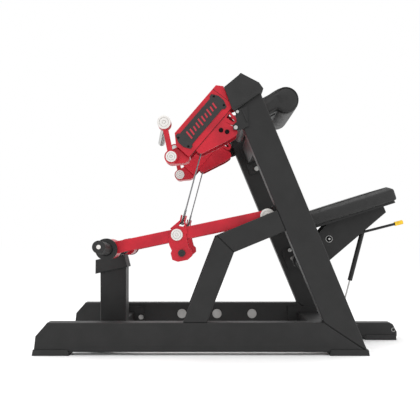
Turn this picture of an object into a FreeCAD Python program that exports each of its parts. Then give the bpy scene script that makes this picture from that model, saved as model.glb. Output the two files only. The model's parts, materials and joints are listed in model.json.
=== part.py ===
import FreeCAD, Part
import math
import os

from FreeCAD import Placement, Rotation, Vector

# Plate-loaded arm curl machine: two lifting arms, each tied by a steel cable to a weight lever of its own.
# +X runs from the weight post to the seat, +Y to the right side of the machine, +Z up. The origin is on
# the floor, at the middle of the machine's bounding box. All sizes are in millimetres.

doc = FreeCAD.newDocument("arm_curl_machine")

# ---------------------------------------------------------------- driving dimensions
DIMENSIONS = {
    # base frame
    "rail_front_x": -815.5, "rail_bottom_z": 14, "rail_top_z": 134, "track_half": 365,
    "tube_deep": 120, "tube_wide": 60, "tube_wall": 4, "tube_round": 5, "lean_angle": 22.5,
    "inner_corner_x": 373.4, "rail_foot_len": 150, "foot_wrap": 10, "foot_skirt": 5,
    # braces that carry the weight levers
    "brace_deep": 92, "brace_wide": 38, "brace_foot_x": -152.4, "brace_elbow_x": -28.7,
    "brace_elbow_z": 455.3,
    # cross tubes and the post
    "cross_len": 670, "front_cross_x": -545, "rear_cross_x": 425, "cross_wide": 100, "cross_bottom_z": 24,
    "cross_tall": 60, "cross_wall": 4, "top_cross_x": 116, "top_cross_z": 920, "top_cross_deep": 90,
    "top_cross_wide": 45, "flange_thick": 8, "flange_wide": 206, "flange_tall": 92,
    "post_x": -542.7, "post_wide": 120, "post_deep": 100, "post_top_z": 352, "post_slope": 11.8,
    "rear_rail_end_x": 787, "rear_rail_wide": 60, "rear_rail_bottom_z": 16, "rear_rail_top_z": 80,
    "tow_hole_r": 7.5, "tow_hole_x": 770, "tow_hole_z": 48,
    # lifting arms
    "arm_x": 49.4, "arm_z": 1073, "arm_angle": 229.3, "arm_y": 340, "arm_wide": 100, "arm_wall": 6,
    "arm_shaft_r": 20, "hub_bore_r": 20.05, "hub_r": 46, "hub_inner_y": 290, "hub_outer_y": 332,
    "panel_thick": 3,
    "link_pivot_along": 393.6, "link_pivot_across": -55.7, "link_top_along": 306.4,
    "link_top_across": -169.3,
    "link_wide": 22, "link_thick": 17, "link_eye_r": 28, "link_pin_r": 11, "grip_hub_r": 28,
    "grip_hub_len": 52,
    "grip_r": 14, "grip_inner_x": -303, "grip_inner_y": 215, "grip_inner_z": 895,
    # cables
    "anchor_x": -109.6, "anchor_z": 904, "cable_y": 330, "cable_r": 3, "yoke_x": -203, "yoke_z": 556.2,
    # weight levers
    "lever_x": 147, "lever_z": 571, "hub_x": -517, "lever_hub_z": 432, "lever_tall": 50, "lever_wide": 40,
    "lever_end_r": 29, "lever_shaft_r": 15, "weight_hub_r": 42, "weight_hub_inner_y": 225,
    "weight_hub_outer_y": 358,
    "horn_r": 25, "horn_len": 156, "horn_root": 24, "horn_tilt": 4, "collar_r": 45, "collar_thick": 14,
    "rest_bar_r": 24,
    "rest_sleeve_r": 34, "rest_inner_y": 10, "hanger_x": -228, "hanger_z": 492.3, "hanger_pin_r": 12,
    "hanger_gap": 42, "hanger_plate": 6,
    # seat
    "seat_pivot_x": 354, "seat_pivot_z": 370, "seat_slope": 17.5, "seat_corner_x": 688.3,
    "seat_corner_z": 619.7,
    "seat_wide": 310, "board_wide": 270, "seat_plate_y": 54,
    "seat_plate_thick": 8, "seat_axle_r": 15, "seat_sleeve_r": 26,
    "gas_foot_x": 531, "gas_foot_z": 118, "gas_top_x": 650, "gas_top_z": 577, "gas_body_r": 11,
    "gas_bore_r": 8.5, "gas_rod_r": 4, "gas_body_len": 310,
    "release_x": 600, "release_z": 499, "release_y": -28, "release_r": 6, "release_tip_x": 813.05,
    # arm pad
    "roll_x": 242.7, "roll_z": 1087, "roll_r": 58, "pad_slope": 29.5, "pad_len": 233, "pad_under": 18.6,
    "pad_half": 211, "pad_bracket_y": 64,
}

sheet = doc.addObject("Spreadsheet::Sheet", "Dimensions")
for row, (alias, value) in enumerate(DIMENSIONS.items(), start=1):
    sheet.set(f"A{row}", alias)
    sheet.set(f"B{row}", str(value))
    sheet.setAlias(f"B{row}", alias)
doc.recompute()


def size(alias):
    """A driving dimension, as the sheet holds it."""
    return float(sheet.get(alias))


# ---------------------------------------------------------------- small helpers
NODES = []


def node(label, obj):
    """Name an object as a finished sub-part of the machine."""
    obj.Label = label
    NODES.append(obj)
    return obj


def bind(obj, **cells):
    """Tie properties of an object to expressions in the dimension sheet."""
    for prop, expression in cells.items():
        obj.setExpression(prop, expression)


def cell(expression):
    """The sheet's own name in front of each alias of an expression."""
    for alias in sorted(DIMENSIONS, key=len, reverse=True):
        expression = expression.replace(f"[{alias}]", f"Dimensions.{alias}")
    return expression


def outline_edges(points):
    """Edges of a closed outline in a sketch. A point that starts with "arc" is the middle of an arc."""
    edges = []
    corners = [(i, p) for i, p in enumerate(points) if p[0] != "arc"]
    for k, (i, start) in enumerate(corners):
        j, end = corners[(k + 1) % len(corners)]
        first, last = Vector(*start, 0), Vector(*end, 0)
        between = points[(i + 1) % len(points)]
        if between[0] == "arc":
            edges.append(Part.Arc(first, Vector(*between[1:], 0), last))
        else:
            edges.append(Part.LineSegment(first, last))
    return edges


def sketch(body, name, points, role="XZ_Plane"):
    """A closed outline on one of the body's own origin planes."""
    plane = [o for o in body.Origin.OriginFeatures if o.Role == role][0]
    drawn = body.newObject("Sketcher::SketchObject", name)
    drawn.AttachmentSupport = (plane, [""])
    drawn.MapMode = "FlatFace"
    for edge in outline_edges(points):
        drawn.addGeometry(edge)
    return drawn


def slab(name, points, width, y=0.0, holes=(), cavity=None, cavity_width=None, rounding=None):
    """A body drawn as an outline in X and Z and padded by `width` about y.

    `holes` are outlines cut right through and `cavity` is one cut only `cavity_width` wide. `rounding` is
    the cell that holds the radius of the edges along both side faces.
    """
    body = doc.addObject("PartDesign::Body", name)
    pad = body.newObject("PartDesign::Pad", name + "_pad")
    pad.Profile = sketch(body, name + "_outline", points)
    pad.SideType = "Symmetric"
    bind(pad, Length=cell(width))
    doc.recompute()
    tip = pad
    half = float(pad.Length) / 2
    if rounding:
        edges = [f"Edge{i}" for i, e in enumerate(pad.Shape.Edges, start=1)
                 if abs(abs(e.CenterOfMass.y) - half) < 1e-6
                 and abs(e.Vertexes[0].Point.y - e.Vertexes[-1].Point.y) < 1e-6]
        tip = body.newObject("PartDesign::Fillet", name + "_rounding")
        tip.Base = (pad, edges)
        bind(tip, Radius=cell(rounding))
        doc.recompute()
    cuts = [(hole, None) for hole in holes] + ([(cavity, cavity_width)] if cavity else [])
    for number, (cut, cut_width) in enumerate(cuts, start=1):
        before = body.Shape.Volume
        pocket = body.newObject("PartDesign::Pocket", f"{name}_pocket{number}")
        pocket.Profile = sketch(body, f"{name}_cut{number}", cut)
        pocket.SideType = "Symmetric"
        bind(pocket, Length=cell(cut_width) if cut_width else cell(f"({width}) * 2"))
        doc.recompute()
        if not body.Shape.Volume < before:
            raise ValueError(f"{name}: a pocket cuts nothing")
    body.Placement = Placement(Vector(0, y, 0), Rotation())
    return body


def rod(name, radius, length, start, direction=(0, 1, 0)):
    """A cylinder from `start` along `direction`, with its radius and length tied to the sheet."""
    made = doc.addObject("Part::Cylinder", name)
    bind(made, Radius=cell(radius), Height=cell(length))
    made.Placement = Placement(Vector(*start), Rotation(Vector(0, 0, 1), Vector(*direction)))
    return made


def group(name, parts):
    """Separate solids that share one node."""
    made = doc.addObject("Part::Compound", name)
    made.Links = parts
    return made


def fuse(name, parts):
    """Parts welded into one solid."""
    made = doc.addObject("Part::MultiFuse", name)
    made.Shapes = parts
    made.Refine = True
    return made


def cut(name, base, tool):
    """One part with another taken out of it."""
    made = doc.addObject("Part::Cut", name)
    made.Base = base
    made.Tool = tool
    return made


def inset(points, wall):
    """The same straight-edged outline, moved inwards by the wall thickness. Works for either winding."""
    area = sum(a[0] * b[1] - b[0] * a[1] for a, b in zip(points, points[1:] + points[:1]))
    side = 1 if area > 0 else -1
    lines = []
    for a, b in zip(points, points[1:] + points[:1]):
        length = math.hypot(b[0] - a[0], b[1] - a[1])
        ux, uz = (b[0] - a[0]) / length, (b[1] - a[1]) / length
        lines.append((a[0] - uz * wall * side, a[1] + ux * wall * side, ux, uz))
    moved = []
    for (px, pz, ux, uz), (qx, qz, vx, vz) in zip(lines[-1:] + lines[:-1], lines):
        t = ((qx - px) * vz - (qz - pz) * vx) / (ux * vz - uz * vx)
        moved.append((px + t * ux, pz + t * uz))
    return moved


def circle(x, z, r):
    """A round outline, as two arcs."""
    return [(x - r, z), ("arc", x, z + r), (x + r, z), ("arc", x, z - r)]


def turned(origin, angle, along, across):
    """A point given along and across a direction that starts at `origin`, in the X and Z plane."""
    c, s = math.cos(math.radians(angle)), math.sin(math.radians(angle))
    return (origin[0] + along * c - across * s, origin[1] + along * s + across * c)


SIDES = (("left", -1), ("right", 1))
LEAN = math.radians(size("lean_angle"))
TRACK = size("track_half")
INNER_Y = TRACK - size("tube_wide") / 2
OUTER_Y = TRACK + size("tube_wide") / 2
ARM_PIVOT = (size("arm_x"), size("arm_z"))
LEVER_PIVOT = (size("lever_x"), size("lever_z"))
CORNER_X, RAIL_TOP, RAIL_BOTTOM = size("inner_corner_x"), size("rail_top_z"), size("rail_bottom_z")


def front_face_x(z):
    """X of the upright's front face at a height."""
    return CORNER_X - math.tan(LEAN) * (z - RAIL_TOP)


# ---------------------------------------------------------------- side frames
def rail_outline():
    """The floor rail: a slanted nose in front and a mitre at the upright."""
    front = size("rail_front_x") + 5
    mitre = (RAIL_TOP - RAIL_BOTTOM) / math.tan(math.radians(90 - size("lean_angle")) / 2)
    return [(front, RAIL_BOTTOM), (CORNER_X + mitre, RAIL_BOTTOM), (CORNER_X, RAIL_TOP),
            (front + 56, RAIL_TOP), (front + 7, RAIL_TOP - 56)]


def upright_outline():
    """The leaning upright: mitred at the floor rail and round about the arm's pivot at the top."""
    half = size("tube_deep") / 2
    foot_x = rail_outline()[1][0]
    side_x, side_z = half * math.cos(LEAN), half * math.sin(LEAN)
    px, pz = ARM_PIVOT
    crown = ("arc", px - half * math.sin(LEAN), pz + half * math.cos(LEAN))
    return [(CORNER_X, RAIL_TOP), (foot_x, RAIL_BOTTOM), (px + side_x, pz + side_z), crown,
            (px - side_x, pz - side_z)]


def brace_outlines():
    """The brace's leg and arm, which meet in a mitre; the arm runs square into the upright."""
    half = size("brace_deep") / 2
    foot = Vector(size("brace_foot_x"), 0, RAIL_TOP)
    elbow = Vector(size("brace_elbow_x"), 0, size("brace_elbow_z"))
    leg = (elbow - foot).normalize()
    arm = Vector(math.cos(LEAN), 0, math.sin(LEAN))
    leg_side, arm_side = Vector(-leg.z, 0, leg.x), Vector(-arm.z, 0, arm.x)
    mitre = (leg_side + arm_side).normalize()
    reach = half / mitre.dot(leg_side)
    outer, inner = elbow + mitre * reach, elbow - mitre * reach
    foot_half = half / leg.z
    leg_points = [(foot.x - foot_half, RAIL_TOP), (foot.x + foot_half, RAIL_TOP), (inner.x, inner.z),
                  (outer.x, outer.z)]
    ends = []
    for start in (inner, outer):
        run = (front_face_x(start.z) - start.x) * math.cos(LEAN)
        ends.append((start.x + arm.x * run, start.z + arm.z * run))
    arm_points = [(inner.x, inner.z), ends[0], ends[1], (outer.x, outer.z)]
    return leg_points, arm_points


def build_side_frames():
    wall, wide = size("tube_wall"), "[tube_wide]"
    hollow = "[tube_wide] - 2 * [tube_wall]"
    rail = rail_outline()
    upright = upright_outline()
    corners = [p for p in upright if p[0] != "arc"]
    # the hollow of the upright stops short of the arm shaft, where the real tube has a solid plug
    hollow_upright = inset([corners[0], corners[1],
                            turned(corners[2], 90 + size("lean_angle"), -130, 0),
                            turned(corners[3], 90 + size("lean_angle"), -130, 0)], wall)
    leg, arm = brace_outlines()
    for side, sign in SIDES:
        y = sign * TRACK
        brace_y = sign * (OUTER_Y - size("brace_wide") / 2)
        node(side + "_rail", slab(side + "_rail", rail, wide, y, cavity=inset(rail, wall),
                                  cavity_width=hollow, rounding="[tube_round]"))
        node(side + "_upright", slab(side + "_upright", upright, wide, y,
                                     holes=[circle(*ARM_PIVOT, size("arm_shaft_r"))],
                                     cavity=hollow_upright, cavity_width=hollow, rounding="[tube_round]"))
        for name, points in (("_brace_leg", leg), ("_brace_arm", arm)):
            node(side + name, slab(side + name, points, "[brace_wide]", brace_y,
                                   cavity=inset(points, wall),
                                   cavity_width="[brace_wide] - 2 * [tube_wall]",
                                   rounding="[tube_round]"))


def build_feet():
    """Rubber shoes that wrap the bottoms of the rails."""
    skirt, length = size("foot_skirt"), size("rail_foot_len")
    wide = "[tube_wide] + 2 * [foot_skirt]"
    front, back = size("rail_front_x"), rail_outline()[1][0] + skirt
    shoes = []
    for side, sign in SIDES:
        for place, start, stop in (("front", front, front + length), ("rear", back - length - 10, back)):
            name = f"{side}_{place}_shoe"
            shoe = slab(name, [(start, 0), (stop, 0), (stop - 4, RAIL_BOTTOM + size("foot_wrap")),
                               (start + 4, RAIL_BOTTOM + size("foot_wrap"))], wide, sign * TRACK)
            seat = fuse(name + "_seat", [slab(name + "_seat_rail", rail_outline(), "[tube_wide]",
                                              sign * TRACK),
                                         slab(name + "_seat_post", upright_outline(), "[tube_wide]",
                                              sign * TRACK)])
            shoes.append(cut(name + "_cut", shoe, seat))
    end, bottom = size("rear_rail_end_x"), size("rear_rail_bottom_z")
    shoe = slab("centre_shoe", [(end - 150, 0), (end - 4, 0), (end - 6, bottom + 8),
                                (end - 146, bottom + 8)],
                "[rear_rail_wide] + 2 * [foot_skirt]")
    shoes.append(cut("centre_shoe_cut", shoe, slab("centre_shoe_seat", rear_rail_outline(),
                                                   "[rear_rail_wide]")))
    node("rubber_feet", group("rubber_feet", shoes))


def rear_rail_outline():
    """The short rail in the middle that runs back under the seat, with a cut corner at its free end."""
    start = size("rear_cross_x") + size("cross_wide") / 2
    end, low, high = size("rear_rail_end_x"), size("rear_rail_bottom_z"), size("rear_rail_top_z")
    return [(start, low), (end, low), (end, high - 42), (end - 18, high - 8), (end - 30, high),
            (start, high)]


def build_cross_members():
    wall, long_y = size("cross_wall"), size("cross_len")
    low = size("cross_bottom_z")
    for label, x in (("front_cross_tube", size("front_cross_x")),
                     ("rear_cross_tube", size("rear_cross_x"))):
        half = size("cross_wide") / 2
        points = [(x - half, low), (x + half, low), (x + half, low + size("cross_tall")),
                  (x - half, low + size("cross_tall"))]
        node(label, slab(label, points, "[cross_len] - 2 * [flange_thick]", cavity=inset(points, wall),
                         cavity_width="[cross_len] - 2 * [flange_thick] - 2 * [cross_wall]",
                         rounding=None))
    middle = (size("top_cross_x"), size("top_cross_z"))
    half_deep, half_wide = size("top_cross_deep") / 2, size("top_cross_wide") / 2
    direction = 90 + size("lean_angle")
    points = [turned(middle, direction, a, b) for a, b in
              ((-half_deep, -half_wide), (half_deep, -half_wide), (half_deep, half_wide),
               (-half_deep, half_wide))]
    node("top_cross_tube", slab("top_cross_tube", points, "[cross_len] - 2 * [flange_thick]",
                                cavity=inset(points, wall),
                                cavity_width="[cross_len] - 2 * [flange_thick] - 2 * [cross_wall]"))
    plates, bolts = [], []
    tall, wide, thick = size("flange_tall"), size("flange_wide"), size("flange_thick")
    for side, sign in SIDES:
        y = sign * (long_y / 2 - thick / 2)
        bolt_y = sign * (long_y / 2 - thick)
        for name, x, places in (("front", size("front_cross_x"), ((-89, 35), (89, 35))),
                                ("rear", size("rear_cross_x"), ((89, 24), (89, 68)))):
            z = low
            outline = [(x - wide / 2, z), (x + wide / 2, z), (x + wide / 2, z + tall),
                       (x - wide / 2, z + tall)]
            plates.append(slab(f"{side}_{name}_flange", outline, "[flange_thick]", y))
            for dx, dz in places:
                bolts.append(rod(f"{side}_{name}_bolt", "13", "9", (x + dx, bolt_y, z + dz),
                                 (0, -sign, 0)))
        corners = [turned(middle, direction, a, b) for a, b in ((-104, -34), (62, -34), (62, 34),
                                                                (-104, 34))]
        plates.append(slab(side + "_top_flange", corners, "[flange_thick]", y))
        for bx, bz, radius in ((156, 845, 12), (95.3, 970, 8)):
            bolts.append(rod(side + "_top_bolt", str(radius), "7", (bx, bolt_y, bz), (0, -sign, 0)))
        seat_x, seat_z = size("seat_pivot_x"), size("seat_pivot_z")
        corners = [turned((seat_x, seat_z), direction, a, b)
                   for a, b in ((-46, -40), (-40, -46), (52, -46), (58, -40), (58, 40), (52, 46),
                                (-40, 46), (-46, 40))]
        plates.append(slab(side + "_seat_bearing_plate", corners, "[flange_thick]", y))
        # stop bolts and the bracket's own bolts, on the outer face
        for bx, bz, radius in ((13, 926.5, 8), (20, 990, 6)):
            bolts.append(rod(side + "_stop_bolt", str(radius), "7", (bx, sign * (OUTER_Y + 8), bz),
                             (0, sign, 0)))
    node("mounting_plates", group("mounting_plates", plates))
    node("frame_bolts", group("frame_bolts", bolts))
    caps = []
    for side, sign in SIDES:
        for x in (-240, -54, 132):
            caps.append(rod(side + "_cap", "24", "6", (x, sign * INNER_Y, 76), (0, -sign, 0)))
    node("rail_caps", group("rail_caps", caps))


def build_post():
    x, half = size("post_x"), size("post_wide") / 2
    low = size("cross_bottom_z") + size("cross_tall")
    rise = math.tan(math.radians(size("post_slope")))
    top = size("post_top_z")
    points = [(x - half, low), (x + half, low), (x + half, top + half * rise),
              (x - half, top - half * rise)]
    node("stop_post", slab("stop_post", points, "[post_deep]", cavity=inset(points, size("tube_wall")),
                           cavity_width="[post_deep] - 2 * [tube_wall]", rounding="[tube_round]"))
    # the bumper block sits over the post's end like a cap, with its top parallel to the levers
    cap = [(x - 81, top - 40), (x + 68, top - 9), (x + 53, top + 50.2), (x - 80, top + 25)]
    shell = slab("bumper_shell", cap, "[post_deep] + 24", rounding="[tube_round]")
    core = slab("bumper_core", points, "[post_deep]")
    node("post_bumper", cut("post_bumper", shell, core))


def build_rear_rail():
    points = rear_rail_outline()
    hole = circle(size("tow_hole_x"), size("tow_hole_z"), size("tow_hole_r"))
    node("rear_rail", slab("rear_rail", points, "[rear_rail_wide]", holes=[hole],
                           cavity=inset([points[0], (size("tow_hole_x") - 14, points[0][1]),
                                         (size("tow_hole_x") - 14, points[5][1]), points[5]],
                                         size("tube_wall")),
                           cavity_width="[rear_rail_wide] - 2 * [tube_wall]", rounding="[tube_round]"))


# ---------------------------------------------------------------- arm pivots, hoods and stops
def build_arm_supports():
    shafts, brackets = [], []
    px, pz = ARM_PIVOT
    hood = [(px - 83, pz + 18), (px - 17, pz + 72), (px + 57.5, pz + 33.8), (px + 75.4, pz + 11.1),
            (px + 73.3, pz + 2.2), (px - 39.8, pz - 77.6), (px - 50.8, pz - 71.5)]
    rim_outer = [(px + 56, pz + 34.5), (px + 57.5, pz + 33.8), (px + 75.4, pz + 11.1),
                 (px + 73.3, pz + 2.2)]
    rim_inner = [(px + 67, pz - 2), (px + 70, pz + 10), (px + 56, pz + 28)]
    for side, sign in SIDES:
        inner = sign * (size("hub_inner_y") - 14.4)
        shaft = rod(side + "_shaft", "[arm_shaft_r]", "119.3", (px, inner, pz), (0, sign, 0))
        washer = rod(side + "_washer", "34", "4", (px, inner, pz), (0, sign, 0))
        shafts.append(fuse(side + "_arm_shaft", [shaft, washer]))
        face = slab(side + "_hood_face", hood, "12", sign * (OUTER_Y + 6))
        rim = slab(side + "_hood_rim", rim_outer + rim_inner, "77", sign * (OUTER_Y - 26.5))
        node(side + "_hood", fuse(side + "_hood", [face, rim]))
        plate = slab(side + "_stop_plate", [(14, 990), (26, 1001), (60, 1014), (66, 933), (30, 917),
                                            (4, 917),
                                            (2, 936), (17, 950)], "8", sign * (OUTER_Y + 4))
        rib = slab(side + "_stop_rib", [(35, 1001), (42, 1003), (64, 953), (57, 950)], "12",
                   sign * (OUTER_Y + 6))
        brackets.append(fuse(side + "_stop_bracket", [plate, rib]))
    node("arm_shafts", group("arm_shafts", shafts))
    node("stop_brackets", group("stop_brackets", brackets))


# ---------------------------------------------------------------- lifting arms
def arm_point(along, across):
    """A point in the arm's own frame: along it from the pivot, and across it towards its underside."""
    return turned(ARM_PIVOT, size("arm_angle"), along, across)


def arm_outline(pairs):
    """Points given in the arm's own frame, and arcs kept as arcs."""
    return [("arc", *arm_point(*p[1:])) if p[0] == "arc" else arm_point(*p) for p in pairs]


def build_arms():
    shell = arm_outline([(36, -82), (53, -108), (311, -108), (347, -70), (348, 3), (80, 3)])
    channel = arm_outline([(86, -76), (98, -102), (308, -102), (341, -68), (342, 30), (86, 30)])
    root = arm_outline([(0, 46), ("arc", -46, 0), (0, -46), (53, -100), (90, -100), (90, -3)])
    web = arm_outline([(97, 3), (101, 44), ("arc", 119, 57), (134, 47), (142, 16), (134, 66),
                       ("arc", 140, 83),
                       (157, 88), (183, 81), (299, 33), ("arc", 307, 24), (306, 3)])
    window = arm_outline([(106, 8), (126, 12), (122, 41), ("arc", 117, 45), (112, 40)])
    panel = panel_outline()
    bracket = arm_outline([(347.06, -66), (380, -80), ("arc", 421.5, -52), (412, -34.5), (376.5, 1),
                           (359.4, 8.4),
                           (347.99, 2)])
    wall = size("arm_wall")
    for side, sign in SIDES:
        y = sign * size("arm_y")
        node(side + "_arm", slab(side + "_arm", shell, "[arm_wide]", y, cavity=channel,
                                 cavity_width="[arm_wide] - 2 * [arm_wall]", rounding="3"))
        outer, inner = y + sign * (50 - wall / 2 - 2), y - sign * (50 - wall / 2 - 2)
        webs = [slab(f"{side}_web_{k}", web, "[arm_wall]", at, holes=[window])
                for k, at in enumerate((outer, inner), start=1)]
        # two stub pins, one on each wall of the channel, leave room between them for the rope's eye
        pin = (size("anchor_x"), size("anchor_z"))
        for name, start, length in (("inner", 296, "26"), ("outer", 338, "46")):
            webs.append(rod(f"{side}_{name}_stub", "6.9", length, (pin[0], sign * start, pin[1]),
                            (0, sign, 0)))
        node(side + "_arm_webs", group(side + "_arm_webs", webs))
        # the root is a thick plate inside the upright's plane, welded to the arm's inner wall
        root_y = sign * (size("hub_inner_y") - 5)
        plate = slab(side + "_root_plate", root, "10", root_y)
        sleeve = rod(side + "_sleeve", "[hub_r]", "[hub_outer_y] - [hub_inner_y]",
                     (ARM_PIVOT[0], sign * size("hub_inner_y"), ARM_PIVOT[1]), (0, sign, 0))
        bore = rod(side + "_sleeve_bore", "[hub_bore_r]", "80",
                   (ARM_PIVOT[0], sign * (size("hub_inner_y") - 20), ARM_PIVOT[1]), (0, sign, 0))
        node(side + "_arm_hub", cut(side + "_arm_hub", fuse(side + "_hub_blank", [plate, sleeve]), bore))
        node(side + "_arm_panel", slab(side + "_arm_panel", panel, "[panel_thick]",
                                       y + sign * (50 + size("panel_thick") / 2)))
        pivot = arm_point(size("link_pivot_along"), size("link_pivot_across"))
        blank = slab(side + "_handle_bracket_blank", bracket, "70", y - sign * 5, rounding="3")
        pin = rod(side + "_link_pin", "[link_pin_r]", "49", (pivot[0], y + sign * 2, pivot[1]),
                  (0, sign, 0))
        node(side + "_handle_bracket", fuse(side + "_handle_bracket", [blank, pin]))


def panel_outline():
    """A long cover with cut corners and a narrower middle. It is the same both ways round."""
    middle, half_len, half_wide, waist = (205.5, -56.5), 125.5, 40.5, 33
    quarter = [(half_len, 14), (half_len - 13, half_wide), (half_len - 25, half_wide),
               (half_len - 31, waist)]
    first = quarter
    second = [(-a, b) for a, b in reversed(quarter)]
    third = [(-a, -b) for a, b in quarter]
    fourth = [(a, -b) for a, b in reversed(quarter)]
    return [arm_point(middle[0] + a, middle[1] + b) for a, b in first + second + third + fourth]


def build_links():
    low = arm_point(size("link_pivot_along"), size("link_pivot_across"))
    top = arm_point(size("link_top_along"), size("link_top_across"))
    reach = math.hypot(top[0] - low[0], top[1] - low[1])
    direction = math.degrees(math.atan2(top[1] - low[1], top[0] - low[0]))
    half = size("link_wide") / 2
    bar = [turned(low, direction, a, b) for a, b in ((0, -half), (reach, -half), (reach, half),
                                                     (0, half))]
    for side, sign in SIDES:
        y = size("arm_y") + 31
        bar_y = sign * (y + size("link_thick") / 2)
        strap = slab(side + "_link_bar", bar, "[link_thick]", bar_y, rounding="3")
        eye = rod(side + "_link_eye", "[link_eye_r]", "[link_thick]", (low[0], sign * y, low[1]),
                  (0, sign, 0))
        hub = rod(side + "_link_hub", "[grip_hub_r]", "[grip_hub_len]",
                  (top[0], sign * (y + size("link_thick") + 4 - size("grip_hub_len")), top[1]),
                  (0, sign, 0))
        blank = fuse(side + "_link_blank", [strap, eye, hub])
        bore = rod(side + "_link_bore", "[link_pin_r] + 0.05", "80", (low[0], sign * (y - 30), low[1]),
                   (0, sign, 0))
        holed = cut(side + "_link_bored", blank, bore)
        grip_bore = rod(side + "_grip_bore", "[link_pin_r] + 0.05", "90",
                        (top[0], sign * (y - 50), top[1]), (0, sign, 0))
        node(side + "_link", cut(side + "_link", holed, grip_bore))
        # the grip turns on a stem in the link's hub, and slopes down towards the user's wrist
        stem_y = y + size("link_thick") + 4 - size("grip_hub_len")
        stem = rod(side + "_grip_stem", "[link_pin_r]", "[grip_hub_len] + 11",
                   (top[0], sign * (stem_y - 12), top[1]), (0, sign, 0))
        boss = rod(side + "_grip_boss", "[grip_r] + 6", "12", (top[0], sign * (stem_y - 12.5), top[1]),
                   (0, sign, 0))
        start = Vector(top[0], sign * (stem_y - 10), top[1])
        end = Vector(size("grip_inner_x"), sign * size("grip_inner_y"), size("grip_inner_z"))
        run = end - start
        bar_rod = rod(side + "_grip_bar", "[grip_r]", str(run.Length), tuple(start), tuple(run))
        tip = doc.addObject("Part::Sphere", side + "_grip_tip")
        bind(tip, Radius=cell("[grip_r]"))
        tip.Placement = Placement(end, Rotation())
        node(side + "_grip", fuse(side + "_grip", [stem, boss, bar_rod, tip]))


# ---------------------------------------------------------------- cables
def build_cables():
    """Steel ropes from an eye inside each arm to a stud in the hanger's yoke."""
    top = Vector(size("anchor_x"), 0, size("anchor_z"))
    low = Vector(size("yoke_x"), 0, size("yoke_z"))
    run = low - top
    along = Vector(run).normalize()
    for side, sign in SIDES:
        y = sign * size("cable_y")
        start = top + Vector(0, y, 0)
        line = rod(side + "_rope", "[cable_r]", str(run.Length - 60), tuple(start + along * 20),
                   tuple(run))
        eye = cut(side + "_eye", rod(side + "_eye_blank", "14", "12", (top.x, y - 6, top.z)),
                  rod(side + "_eye_bore", "7", "20", (top.x, y - 10, top.z)))
        sleeve = rod(side + "_ferrule", "5", "46", tuple(start + along * 11), tuple(run))
        stud = rod(side + "_stud", "4.5", "65", tuple(start + along * (run.Length - 42)), tuple(run))
        nut = rod(side + "_nut", "8", "9", tuple(start + along * (run.Length + 13)), tuple(run))
        node(side + "_cable", fuse(side + "_cable", [line, eye, sleeve, stud, nut]))


# ---------------------------------------------------------------- weight levers
def build_levers():
    slope = math.degrees(math.atan2(LEVER_PIVOT[1] - size("lever_hub_z"), LEVER_PIVOT[0] - size("hub_x")))
    back = 180 + slope
    reach = math.hypot(LEVER_PIVOT[0] - size("hub_x"), LEVER_PIVOT[1] - size("lever_hub_z"))
    half = size("lever_tall") / 2
    beam = [turned(LEVER_PIVOT, back, a, b) for a, b in ((0, -half), (reach, -half), (reach, half),
                                                         (0, half))]
    hollow = inset([turned(LEVER_PIVOT, back, a, b)
                    for a, b in ((44, -half), (reach - 50, -half), (reach - 50, half), (44, half))], 4)
    tilt = math.radians(size("horn_tilt"))
    for side, sign in SIDES:
        y = sign * size("cable_y")
        bar = slab(side + "_beam", beam, "[lever_wide]", y, cavity=hollow,
                   cavity_width="[lever_wide] - 8", rounding="3")
        eye = rod(side + "_lever_eye", "[lever_end_r]", "[lever_wide]",
                  (LEVER_PIVOT[0], y - size("lever_wide") / 2, LEVER_PIVOT[1]))
        inner, outer = size("weight_hub_inner_y"), size("weight_hub_outer_y")
        hub = rod(side + "_weight_hub", "[weight_hub_r]", "[weight_hub_outer_y] - [weight_hub_inner_y]",
                  (size("hub_x"), sign * inner, size("lever_hub_z")), (0, sign, 0))
        rest = rod(side + "_rest_bar", "[rest_bar_r]", "[weight_hub_inner_y] - [rest_inner_y]",
                   (size("hub_x"), sign * size("rest_inner_y"), size("lever_hub_z")), (0, sign, 0))
        blank = fuse(side + "_lever_blank", [bar, eye, hub, rest])
        bore = rod(side + "_lever_bore", "[lever_shaft_r] + 0.05", "80",
                   (LEVER_PIVOT[0], y - 40, LEVER_PIVOT[1]))
        bored = cut(side + "_lever_bored", blank, bore)
        pin_hole = rod(side + "_hanger_hole", "[hanger_pin_r] + 0.05", "80",
                       (size("hanger_x"), y - 40, size("hanger_z")))
        node(side + "_lever", cut(side + "_lever", bored, pin_hole))
        # the horn's base is a disc square to the hub, and the horn itself tilts up so that plates stay on;
        # its root, inside the collar, is a little thinner
        start = Vector(size("hub_x"), sign * (outer + 3), size("lever_hub_z"))
        direction = Vector(0, sign * math.cos(tilt), math.sin(tilt))
        root = rod(side + "_horn_root", "[horn_r] - 1", "[horn_root] + 1", tuple(start), tuple(direction))
        horn = rod(side + "_horn", "[horn_r]", "[horn_len]",
                   tuple(start + direction * size("horn_root")), tuple(direction))
        disc = rod(side + "_horn_disc", "36", "6",
                   (size("hub_x"), sign * outer, size("lever_hub_z")), (0, sign, 0))
        node(side + "_weight_horn", fuse(side + "_weight_horn", [horn, root, disc]))
        collar = rod(side + "_collar", "[collar_r]", "[collar_thick]",
                     (size("hub_x"), sign * (outer + 6), size("lever_hub_z")), (0, sign, 0))
        clear = rod(side + "_collar_clear", "[horn_r] + 1.5", "60",
                    (size("hub_x"), sign * outer, size("lever_hub_z")), (0, sign, 0))
        sleeve = rod(side + "_rest_sleeve", "[rest_sleeve_r]", "52",
                     (size("hub_x"), sign * (size("rest_inner_y") + 2), size("lever_hub_z")),
                     (0, sign, 0))
        core = rod(side + "_sleeve_core", "[rest_bar_r]", "80",
                   (size("hub_x"), sign * size("rest_inner_y"), size("lever_hub_z")), (0, sign, 0))
        node(side + "_rubber_rings", group(side + "_rubber_rings", [
            cut(side + "_collar_ring", collar, clear), cut(side + "_rest_ring", sleeve, core)]))


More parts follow.
